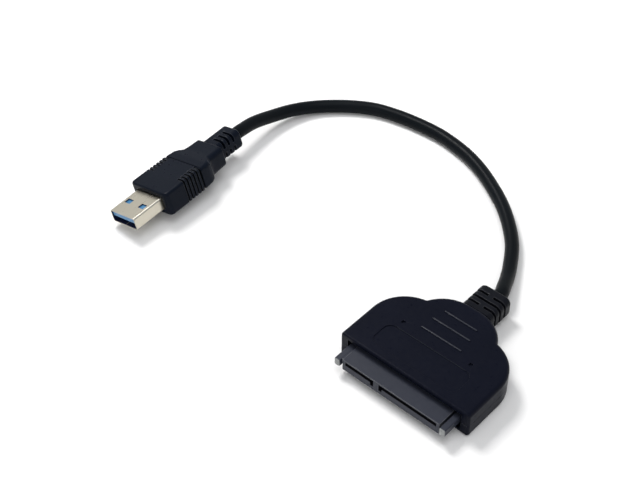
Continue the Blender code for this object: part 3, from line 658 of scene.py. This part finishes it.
def make_housing_top(finishes):
    """Upper shell with ridges, recess and pits; the crowns and the recess's rear rim get a painted
    highlight.
    """
    low = split_height + shell_seam_gap / 2
    shell = solid("housing_top_shell", housing_rings(rounded_levels(low, housing_height, top_rounding,
                                                                    front_rounding)))
    for setback, length in ridges:
        carve(shell, solid("ridge", ridge_rings(face_y + setback, length)), "UNION")
    centre = (0.0, face_y + (recess_front + recess_rear) / 2)
    size = (recess_width, recess_rear - recess_front)
    hollows = [dip_rings(centre, size, recess_corner, recess_depth, recess_rim)]
    for side in (-1, 1):
        centre = (side * pit_spacing / 2, face_y + pit_setback)
        hollows.append(dip_rings(centre, (pit_size, pit_size), pit_rim, pit_depth, pit_rim))
    carve(shell, solid("dips", *hollows))
    hollow(shell, wall, low - overcut, ceiling)
    hollow(shell, rebate_inset, low - overcut, split_height + lip_height + cable_gap)
    cut_openings(shell)
    soften(shell, housing_edge, lambda edge: middle(edge).y < face_y + hair)
    # The ridge crowns and the recess's rear rim take the second finish as a painted highlight.
    for face in shell.data.polygons:
        rear_rim = (abs(face.center.y - face_y - recess_rear) < rim_reach and face.normal.y < -rim_turn
                    and abs(face.center.x) < recess_width / 2 - recess_corner)
        crown = face.center.z > housing_height + crown_share * ridge_height
        if crown or rear_rim and face.center.z > ceiling + hair:
            face.material_index = 1
    return place_piece(shell, "upper_shell", finishes, "housing", "housing_top")


def make_housing_bottom(finishes):
    """Lower shell with the lip that the upper one closes over and the bosses under the board."""
    high = split_height - shell_seam_gap / 2
    shell = solid("housing_bottom_shell", housing_rings(rounded_levels(high, 0.0, bottom_rounding,
                                                                       bottom_rounding)))
    carve(shell, solid("lip", housing_rings([(floor_thickness, lip_inset, lip_inset),
                                             (split_height + lip_height, lip_inset, lip_inset)])), "UNION")
    hollow(shell, wall, floor_thickness, split_height + lip_height + overcut)
    cut_openings(shell)
    last_corner = 360 - 360 / boss_sides
    bosses = [prism(arc((side * boss_side_x, y), boss_radius, 0, last_corner, boss_sides - 1),
                    floor_thickness / 2, floor_thickness + boss_rise, "Z")
              for side in (-1, 1) for y in boss_rows]
    carve(shell, solid("bosses", *bosses), "UNION")
    soften(shell, housing_edge, lambda edge: middle(edge).y < face_y + hair)
    return place_piece(shell, "lower_shell", finishes, "housing", "housing_bottom")


def slot_outline(left, width, key_at_left):
    """L-shaped slot in the XZ plane, its leg hanging at the end beside the key."""
    right, top = left + width, slot_bottom + slot_height
    foot = top - key_leg_height
    if key_at_left:
        return [(left, top), (right, top), (right, slot_bottom), (left + key_leg_width, slot_bottom),
                (left + key_leg_width, foot), (left, foot)]
    return [(left, top), (right, top), (right, foot), (right - key_leg_width, foot),
            (right - key_leg_width, slot_bottom), (left, slot_bottom)]


def contact_names():
    """Names of the sprung contacts in both slots."""
    return ([f"signal_contact_{n + 1}" for n in range(signal_count)]
            + [f"power_contact_{n + 1}" for n in range(power_count)])


def arm_rings(side):
    """One guide arm, rounded along its edges and at its tip."""
    across = side * (arm_outer_width - arm_thickness) / 2
    stations = []
    for step in range(rim_steps + 1):
        turn = math.radians(90 * step / rim_steps)
        drop = arm_tip_rounding * (1 - math.sin(turn))
        stations.append((nose_y - arm_lead + arm_tip_rounding * (1 - math.cos(turn)),
                         arm_thickness - 2 * drop, arm_top - arm_bottom - 2 * drop, arm_corner - drop / 4))
    stations.append((base_front_y + arm_root, arm_thickness, arm_top - arm_bottom, arm_corner))
    rings = lofted(stations, (arm_top + arm_bottom) / 2)
    return [[(x + across, y, z) for x, y, z in ring] for ring in rings]


def in_slots(point):
    """Whether a point of the connector lies on the rim of its slots or inside them."""
    return (abs(point.x) < nose_width / 2 - slot_margin
            and nose_bottom + slot_margin < point.z < nose_top - slot_margin
            and point.y < nose_y + slot_depth + hair)


def make_connector(finishes):
    """Connector body with slots, arms and contact channels; a painted highlight on the arm tips, painted
    shade in the slots and on the base.
    """
    nose = solid("connector_nose", slab((-nose_width / 2, nose_y, nose_bottom),
                                        (nose_width / 2, base_front_y + arm_root, nose_top)))
    carve(nose, solid("base", slab((-arm_outer_width / 2, base_front_y, floor_thickness + cable_gap),
                                   (arm_outer_width / 2, base_rear_y, ceiling - cable_gap))), "UNION")
    for side in (-1, 1):
        carve(nose, solid("arm", arm_rings(side)), "UNION")
    web = slab((arm_thickness / 2 - arm_outer_width / 2, nose_y + web_setback, arm_bottom + arm_corner),
               (cable_gap - nose_width / 2, base_front_y + arm_root, arm_top - arm_corner / 8))
    carve(nose, solid("web", web), "UNION")
    back = nose_y + slot_depth
    slots = [prism(slot_outline(*signal_slot, False), nose_y - overcut, back, "Y"),
             prism(slot_outline(*power_slot, True), nose_y - overcut, back, "Y")]
    carve(nose, solid("slots", *slots))
    channels = []
    for name in contact_names():
        low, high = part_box(name)
        x = (low + high).x / 2
        channels.append(slab((x - contact_half, back - overcut, contact_level - contact_reach),
                             (x + contact_half, base_rear_y + overcut, contact_level + contact_reach)))
    carve(nose, solid("channels", *channels))
    soften(nose, connector_edge,
           lambda edge: middle(edge).y < base_front_y + hair and not in_slots(middle(edge)), segments=3)
    # The arm tips get a painted highlight; the slots, their rims and the base behind the nose get a painted
    # shade.
    for face in nose.data.polygons:
        if face.center.y < nose_y - arm_lead * arm_tip_share:
            face.material_index = 2
        elif (face.center.y > base_front_y - hair
              or nose_y + slot_margin < face.center.y < back + hair and in_slots(face.center)):
            face.material_index = 3
    return place_piece(nose, "drive_connector", finishes, "connector", "sata_connector_body")


def lean_at(y):
    """Sideways shift of the sleeve's middle line, which follows the cable's pull."""
    return -sleeve_lean * (max(y - neck_rear_y, 0.0) / sleeve_length) ** 2


def bracket_outline(side):
    """Outline that cuts one side of a sleeve's slot and leaves a bridge at the middle."""
    outer_x, outer_z = sleeve_width / 2 + overcut, sleeve_height / 2 + overcut
    inner_x, inner_z = sleeve_width / 2 - sleeve_slot_depth, sleeve_height / 2 - sleeve_slot_depth
    half = sleeve_bridge / 2
    points = [(half, outer_z), (outer_x, outer_z), (outer_x, -outer_z), (half, -outer_z),
              (half, -inner_z), (inner_x - sleeve_slot_corner, -inner_z),
              (inner_x, sleeve_slot_corner - inner_z), (inner_x, inner_z - sleeve_slot_corner),
              (inner_x - sleeve_slot_corner, inner_z), (half, inner_z)]
    return [(side * x, z + split_height) for x, z in points]


def arch_outline():
    """Outline that cuts a slot over the top and both sides of a sleeve, bridged underneath."""
    outer_x, outer_z = sleeve_width / 2 + overcut, sleeve_height / 2 + overcut
    inner_x, inner_z = sleeve_width / 2 - sleeve_slot_depth, sleeve_height / 2 - sleeve_slot_depth
    right = [(inner_x - sleeve_slot_corner, inner_z), (inner_x, inner_z - sleeve_slot_corner),
             (inner_x, sleeve_slot_corner - inner_z), (inner_x - sleeve_slot_corner, -inner_z),
             (sleeve_bridge / 2, -inner_z), (sleeve_bridge / 2, -outer_z),
             (outer_x, -outer_z), (outer_x, outer_z)]
    return [(x, z + split_height) for x, z in right + [(-x, z) for x, z in reversed(right)]]


def make_sleeve(finishes):
    """Slotted sleeve with the waist and the flange that hold it in the housing."""
    block = (sleeve_width, sleeve_height, sleeve_corner)
    start = neck_rear_y + cable_gap
    stations = [(flange_front_y, *sleeve_flange, sleeve_corner),
                (flange_rear_y, *sleeve_flange, sleeve_corner),
                (flange_rear_y, *sleeve_waist, sleeve_corner),
                (start, *sleeve_waist, sleeve_corner),
                (start, sleeve_width - 2 * sleeve_chamfer, sleeve_height - 2 * sleeve_chamfer,
                 sleeve_corner - sleeve_chamfer),
                (start + sleeve_chamfer, *block)]
    stations += [(start + 2 * sleeve_chamfer + step * sleeve_ring_spacing, *block)
                 for step in range(sleeve_ring_count)]
    for step in range(rim_steps + 1):
        turn = math.radians(90 * step / rim_steps)
        drop = sleeve_end_rounding * (1 - math.cos(turn))
        stations.append((sleeve_end_y - sleeve_end_rounding * (1 - math.sin(turn)), sleeve_width - 2 * drop,
                         sleeve_height - 2 * drop, sleeve_corner - drop * sleeve_end_fade))
    sleeve = solid("sleeve_block", lofted(stations, split_height))
    bodies = []
    for index, y in enumerate(sleeve_slot_places):
        low, high = y - sleeve_slot_width / 2, y + sleeve_slot_width / 2
        if index == 1:
            bodies.append(prism(arch_outline(), low, high, "Y"))
        else:
            bodies += [prism(bracket_outline(side), low, high, "Y") for side in (-1, 1)]
    carve(sleeve, solid("sleeve_slots", *bodies))
    for vertex in sleeve.data.vertices:
        vertex.co.x += lean_at(vertex.co.y)
    soften(sleeve, connector_edge, lambda edge: middle(edge).y > neck_rear_y + sleeve_edge_start,
           limit=round_sharp_angle)
    return place_piece(sleeve, "cable_sleeve", finishes, "sleeve", "strain_relief")


def moulding_stations():
    """Sections of the plug's moulding from its front face to the end of its sleeve."""
    stations = []
    for step in range(2 * corner_steps + 1):
        turn = math.radians(90 * step / (2 * corner_steps))
        setback = moulding_front_corner * (1 - math.cos(turn))
        inside = max(moulding_face_rounding - setback, 0.0)
        drop = moulding_face_rounding - math.sqrt(moulding_face_rounding ** 2 - inside ** 2)
        stations.append((shell_exposed + setback,
                         moulding_width - 2 * moulding_front_corner * (1 - math.sin(turn)),
                         moulding_height - 2 * drop, moulding_corner))
    rear_height = moulding_height - 2 * step_drop
    bend = (moulding_corner + shoulder_corner) / 2
    stations += [
        (step_setback, moulding_width, moulding_height, moulding_corner),
        (step_setback + step_places[0], moulding_width, rear_height - 2 * step_groove, moulding_corner),
        (step_setback + step_places[1], moulding_width, rear_height - 2 * step_groove, moulding_corner),
        (step_setback + step_places[2], moulding_width, rear_height, moulding_corner),
        (shoulder_start, moulding_width, rear_height, bend),
        ((shoulder_start + shoulder_setback) / 2, moulding_width - shoulder_bow, rear_height, bend),
        (shoulder_setback, shoulder_width, rear_height - step_drop, shoulder_corner),
        (shoulder_setback + shoulder_lip, shoulder_width - shoulder_lip_inset, rear_height - step_drop,
         shoulder_corner),
        (shoulder_foot, shoulder_width - 2 * shoulder_drop, collar_height + step_drop, shoulder_corner),
        (shoulder_foot + collar_rise, shoulder_width - 2 * shoulder_drop - collar_inset,
         collar_height + step_drop / 2, shoulder_corner),
        (collar_setback, collar_width, collar_height, shoulder_corner),
    ]
    for step in range(corner_steps + 1):
        turn = math.radians(90 * step / corner_steps)
        drop = moulding_face_rounding * (1 - math.cos(turn))
        stations.append((collar_end - moulding_face_rounding * (1 - math.sin(turn)),
                         collar_width - moulding_face_rounding - 2 * drop, collar_height - 2 * drop,
                         shoulder_corner - drop / 2))
    start, rounding = collar_end + step_drop, plug_sleeve_corner / 2
    sleeve = (plug_sleeve_width, plug_sleeve_height, plug_sleeve_corner)
    stations += [(start + share * (plug_length - rounding - start) / 4, *sleeve) for share in range(4)]
    for step in range(corner_steps + 1):
        turn = math.radians(90 * step / corner_steps)
        drop = rounding * (1 - math.cos(turn))
        stations.append((plug_length - rounding * (1 - math.sin(turn)), plug_sleeve_width - 2 * drop,
                         plug_sleeve_height - 2 * drop, plug_sleeve_corner - drop / 2))
    return stations


def grip_outline(side):
    """Groove that runs down one side of the moulding and wraps onto its top and bottom."""
    floor_x, floor_z = moulding_width / 2 - grip_depth, moulding_height / 2 - grip_depth
    outer_x, outer_z = moulding_width / 2 + overcut, moulding_height / 2 + overcut
    corner = (floor_x - moulding_corner, floor_z - moulding_corner)
    upper = [(grip_reach + grip_end_slope, floor_z)] + arc(corner, moulding_corner, 90, 0, corner_steps)
    points = [(grip_reach, outer_z), (grip_reach, floor_z + grip_depth / 2)] + upper
    points += [(x, -z) for x, z in reversed(points)] + [(outer_x, -outer_z), (outer_x, outer_z)]
    return [(side * x, z) for x, z in points]


def slot_sector(start, end):
    """Part of a ring around the plug's sleeve, between two angles in degrees."""
    outer = plug_sleeve_width / 2 + overcut
    return (arc((0, 0), outer, start, end, corner_steps)
            + arc((0, 0), plug_slot_core, end, start, corner_steps))


def in_grips(point):
    """Whether a point of the moulding lies in one of the grip's grooves."""
    along = (point.y - grip_first) / grip_pitch
    depth = grip_depth * grip_shade_share
    return (-0.5 < along < grip_count - 0.5
            and abs(along - round(along)) * grip_pitch < grip_width / 2 + hair
            and grip_reach < abs(point.x) < moulding_width / 2 - depth
            and abs(point.z) < moulding_height / 2 - depth)


def make_moulding(finishes):
    """The plug's moulding, with painted shade in the grip's grooves, a painted highlight on the shoulder's
    sides, and a pocket for the metal shell.
    """
    moulding = solid("moulding_block", lofted(moulding_stations()))
    pocket = (shell_width + 2 * pocket_gap, shell_height + 2 * pocket_gap, shell_corner + pocket_gap)
    carve(moulding, solid("pocket", lofted([(shell_exposed - overcut, *pocket), (pocket_end, *pocket)])))
    grips = []
    for index in range(grip_count):
        y = grip_first + index * grip_pitch
        grips += [prism(grip_outline(side), y - grip_width / 2, y + grip_width / 2, "Y")
                  for side in (-1, 1)]
    carve(moulding, solid("grips", *grips))
    slots = []
    for index in range(plug_slot_count):
        y = plug_slot_first + index * plug_slot_pitch
        slots += [prism(slot_sector(*sector), y - plug_slot_width / 2, y + plug_slot_width / 2, "Y")
                  for sector in plug_slot_sectors]
    carve(moulding, solid("sleeve_rings", *slots))
    low, high = step_setback - step_margins[0], step_setback + step_margins[1]
    soften(moulding, moulding_edge, lambda edge: not low < middle(edge).y < high,
           limit=moulding_sharp_angle)
    # Faces on the sides of the shoulder's lip get the lighter edge finish as a painted highlight; faces down
    # in the grip's grooves get a painted shade.
    for face in moulding.data.polygons:
        if (shoulder_setback < face.center.y < shoulder_setback + shoulder_lip
                and abs(face.normal.x) > shoulder_turn):
            face.material_index = 1
        elif in_grips(face.center):
            face.material_index = 2
    moulding.data.transform(plug_place)
    return place_piece(moulding, "plug_body", finishes, "moulding", "plug_moulding")


def make_shell(finishes):
    """Folded metal shell with windows and a seam; a painted shade dims the folds and rounded edges, and a
    painted shade with a painted blue reflection darkens the inside and the window walls.
    """
    outer = (shell_width, shell_height, shell_corner)
    shell = solid("plug_tube", lofted([(0.0, *outer), (shell_length, *outer)]))
    bore = (shell_width - 2 * shell_sheet, shell_height - 2 * shell_sheet, shell_corner - shell_sheet)
    carve(shell, solid("bore", lofted([(-overcut, *bore), (shell_length + overcut, *bore)])))
    windows = []
    for side in (-1, 1):
        x = side * window_spacing / 2
        windows.append(slab((x - window_width / 2, window_setback - window_depth / 2, -shell_height),
                            (x + window_width / 2, window_setback + window_depth / 2, shell_height)))
    carve(shell, solid("windows", *windows))
    carve(shell, solid("seam", slab((-shell_seam / 2, -overcut, -shell_height),
                                    (shell_seam / 2, shell_length + overcut, 0.0))))
    soften(shell, shell_edge,
           lambda edge: abs(middle(edge).y - window_setback) > window_depth / 2 + 10 * hair,
           limit=round_sharp_angle)
    # The inside of the tube and the window walls get a painted shade carrying a painted blue reflection; the
    # folded corners get a darker finish, a painted shade that dims their highlight.
    for face in shell.data.polygons:
        inside = abs(face.center.x) < bore[0] / 2 + hair and abs(face.center.z) < bore[1] / 2 + hair
        window_wall = (abs(face.center.y - window_setback) < window_depth / 2 + hair
                       and abs(face.center.z) < shell_height / 2 - hair and abs(face.normal.z) < wall_turn)
        if inside or window_wall and abs(face.center.x) < bore[0] / 2:
            face.material_index = 2
        elif abs(face.normal.x) > fold_turn and abs(face.normal.z) > fold_turn:
            face.material_index = 1
    shell.data.transform(plug_place)
    return place_piece(shell, "plug_can", finishes, "shell", "plug_shell")


def make_tongue(finishes):
    """Blue insulator: the tongue and the block behind it, with channels for both rows of contacts."""
    tongue = solid("insulator", slab((-tongue_half, tongue_setback, tongue_top - tongue_thickness),
                                     (tongue_half, shell_length, tongue_top)))
    carve(tongue, solid("block", slab((-tongue_half, tongue_block_front, -tongue_top),
                                      (tongue_half, shell_length, 0.0))), "UNION")
    rows = ((flat_contacts, flat_contact_half, plug_channel_front, flat_level),
            (rear_contacts, rear_contact_half, tongue_block_front - overcut, rear_level))
    channels = [slab((x - half, front, level - plug_channel_reach),
                     (x + half, shell_length + overcut, level + plug_channel_reach))
                for places, half, front, level in rows for x in places]
    carve(tongue, solid("contact_channels", *channels))
    soften(tongue, tongue_edge, lambda edge: middle(edge).y < tongue_setback + hair, segments=3)
    tongue.data.transform(plug_place)
    return place_piece(tongue, "plug_insulator", finishes, "insulator", "plug_tongue")


def smooth_points(route, spacing):
    """Even points read from a smooth curve through the route's points."""
    route = [Vector(point) for point in route]
    padded = [2 * route[0] - route[1]] + route + [2 * route[-1] - route[-2]]
    dense = []
    for p0, p1, p2, p3 in zip(padded, padded[1:], padded[2:], padded[3:]):
        for step in range(curve_steps):
            t = step / curve_steps
            dense.append(0.5 * (2 * p1 + (p2 - p0) * t + (2 * p0 - 5 * p1 + 4 * p2 - p3) * t * t
                                + (3 * p1 - 3 * p2 + p3 - p0) * t ** 3))
    dense.append(route[-1])
    lengths = [0.0]
    for before, after in zip(dense, dense[1:]):
        lengths.append(lengths[-1] + (after - before).length)
    count = max(2, round(lengths[-1] / spacing))
    points, index = [], 0
    for step in range(count + 1):
        wanted = lengths[-1] * step / count
        while index < len(lengths) - 2 and lengths[index + 1] < wanted:
            index += 1
        share = (wanted - lengths[index]) / max(lengths[index + 1] - lengths[index], 1e-9)
        points.append(dense[index].lerp(dense[index + 1], min(share, 1.0)))
    return points


def make_cable(finish):
    """Jacket from the sleeve's end face to the plug's end face, square to both of them."""
    ahead = Vector((-2 * sleeve_lean / sleeve_length, 1.0, 0.0)).normalized()
    first = Vector((lean_at(sleeve_end_y), sleeve_end_y, split_height)) + ahead * jacket_gap
    end = [plug_place @ Vector((0.0, plug_length + jacket_gap + straight, 0.0))
           for straight in (cable_straight, 0.0)]
    route = [first + ahead * cable_straight, *cable_route, end[0]]
    points = [first, *smooth_points(route, cable_spacing), end[1]]
    curve = bpy.data.curves.new("cable_jacket", "CURVE")
    curve.dimensions, curve.bevel_depth, curve.bevel_resolution = "3D", cable_diameter / 2, cable_steps
    curve.use_fill_caps = True
    spline = curve.splines.new("POLY")
    spline.points.add(len(points) - 1)
    for point, place in zip(spline.points, points):
        point.co = (*place, 1.0)
    spline.use_smooth = True
    jacket = bpy.data.objects.new("cable_jacket", curve)
    bpy.context.scene.collection.objects.link(jacket)
    place_piece(jacket, "cable_jacket", [finish], "jacket", "cable")
    length = sum((b - a).length for a, b in zip(points, points[1:]))
    return jacket, first, length


def dress(finish, *names):
    """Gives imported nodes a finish, and rounds their edges a little where they are blocks."""
    for name in names:
        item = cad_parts[name]
        item.data.materials.clear()
        item.data.materials.append(finish)
        rounding = item.modifiers.new("rounding", "BEVEL")
        rounding.width, rounding.segments, rounding.limit_method = packed_edge, 2, "ANGLE"
        rounding.angle_limit = math.radians(round_sharp_angle)


set_camera()

cable_look = look("cable_vinyl", (0.0030, 0.0044, 0.0060), 0.36, specular=0.06, grain_scale=5000,
                  grain_depth=6e-6, source="UV", streak_scale=60.0, streak_depth=1.2e-5)
jacket, cable_exit, cable_length = make_cable(cable_look)

housing_look = look("housing_black", (0.0034, 0.0044, 0.0100), 0.32, specular=0.06, mottle=0.10,
                    grain_depth=4e-6)
# Lighter edge finish: wear on the rounded edges together with a painted highlight; it also paints the
# highlight on the ridge crowns and the recess's rear rim.
housing_wear_highlight = look("housing_edge", (0.015, 0.018, 0.026), 0.30, specular=0.28, grain_depth=3e-6)
connector_look = look("connector_grey", (0.022, 0.025, 0.037), 0.37, specular=0.20, mottle=0.08,
                      grain_depth=4e-6)
# Lighter edge finish: wear on the rounded edges together with a painted highlight.
connector_wear_highlight = look("connector_edge", (0.060, 0.064, 0.074), 0.30, specular=0.45, grain_depth=3e-6)
# Pale finish that paints a highlight on the arm tips.
connector_tip_highlight = look("connector_tip_highlight", (0.21, 0.22, 0.22), 0.24, specular=0.60, grain_depth=3e-6)
# Near-black finish that paints shade into the slots and onto the base.
connector_shade = look("connector_slot_shade", (0.006, 0.006, 0.009), 0.50, specular=0.15, grain_depth=3e-6)
sleeve_look = look("sleeve_rubber", (0.0036, 0.0044, 0.0074), 0.38, specular=0.09, grain_depth=8e-6)
# Lighter edge finish: wear on the rounded edges together with a painted highlight.
sleeve_wear_highlight = look("sleeve_edge", (0.009, 0.010, 0.014), 0.48, specular=0.30, grain_depth=5e-6)
moulding_look = look("moulding_black", (0.0028, 0.0048, 0.0100), 0.32, specular=0.06, mottle=0.08,
                     grain_depth=3e-6)
# Lighter edge finish: wear on the rounded edges together with a painted highlight; it also paints the
# highlight on the shoulder's sides.
moulding_wear_highlight = look("moulding_edge", (0.014, 0.018, 0.026), 0.34, specular=0.26, grain_depth=4e-6)
# Near-black finish that paints shade into the grip's grooves.
moulding_shade = look("moulding_groove_shade", (0.0008, 0.0011, 0.0020), 0.60, specular=0.05, grain_depth=3e-6)
nickel_look = look("shell_nickel", (0.52, 0.49, 0.41), 0.28, metallic=1.0, mottle=0.03, spread=0.01,
                   grain_scale=3200, grain_depth=1e-7, stretch=(1.0, 0.12, 1.0))
# Dark blue metal that paints shade and the tongue's blue reflection inside the tube and on the window walls.
nickel_inside_shade = look("shell_inside_shade", (0.05, 0.06, 0.15), 0.50, metallic=1.0, mottle=0.03, grain_depth=1e-6)
# Darker, duller nickel on the folds and rounded edges: a painted shade that dims their highlight.
nickel_edge_shade = look("shell_edge", (0.40, 0.385, 0.34), 0.48, metallic=1.0, mottle=0.03, grain_depth=1e-6)
blue_look = look("insulator_blue", (0.042, 0.165, 0.33), 0.34, specular=0.5, mottle=0.06, grain_depth=3e-6)
# Lighter edge finish: wear on the tongue's front edges together with a painted highlight.
blue_wear_highlight = look("insulator_edge", (0.09, 0.23, 0.48), 0.28, specular=0.5, grain_depth=2e-6)

make_housing_top([housing_look, housing_wear_highlight])
make_housing_bottom([housing_look, housing_wear_highlight])
make_connector([connector_look, connector_wear_highlight, connector_tip_highlight, connector_shade])
make_sleeve([sleeve_look, sleeve_wear_highlight])
plug_body = make_moulding([moulding_look, moulding_wear_highlight, moulding_shade])
plug_can = make_shell([nickel_look, nickel_edge_shade, nickel_inside_shade])
plug_insulator = make_tongue([blue_look, blue_wear_highlight])

gold_look = look("contact_gold", (0.80, 0.56, 0.22), 0.26, metallic=1.0, mottle=0.06, spread=0.06,
                 grain_scale=4000, grain_depth=2e-6, stretch=(1.0, 0.1, 1.0))
board_look = look("board_green", (0.018, 0.10, 0.045), 0.42, specular=0.5, mottle=0.15, mottle_scale=500,
                  grain_scale=1600, grain_depth=1.5e-5)
chip_look = look("chip_resin", (0.014, 0.014, 0.015), 0.52, grain_scale=6000, grain_depth=1e-5)
can_look = look("crystal_can", (0.62, 0.62, 0.60), 0.30, metallic=1.0, grain_depth=2e-6)
ferrite_look = look("inductor_ferrite", (0.05, 0.05, 0.05), 0.65, mottle=0.2, mottle_scale=900,
                    grain_depth=1.5e-5)
capacitor_look = look("capacitor_ceramic", (0.42, 0.27, 0.14), 0.45, mottle=0.1, mottle_scale=1200)
plug_contacts = [f"plug_contact_{n + 1}" for n in range(len(flat_contacts))]
plug_contacts += [f"plug_rear_contact_{n + 1}" for n in range(len(rear_contacts))]
dress(gold_look, *plug_contacts, *contact_names())
dress(board_look, "circuit_board")
dress(chip_look, "bridge_chip", "regulator")
dress(can_look, "crystal")
dress(ferrite_look, "inductor")
dress(capacitor_look, "capacitor_1", "capacitor_2", "capacitor_3")
for wire, colour in (("wire_power", (0.55, 0.02, 0.02)), ("wire_data_minus", (0.75, 0.75, 0.72)),
                     ("wire_data_plus", (0.03, 0.30, 0.06)), ("wire_ground", (0.02, 0.02, 0.02)),
                     ("wire_send_minus", (0.03, 0.08, 0.45)), ("wire_send_plus", (0.70, 0.50, 0.02)),
                     ("wire_receive_minus", (0.30, 0.05, 0.35)), ("wire_receive_plus", (0.65, 0.22, 0.02))):
    dress(look(f"{wire}_vinyl", colour, 0.45, mottle=0.05, grain_depth=4e-6), wire)

set_stage()
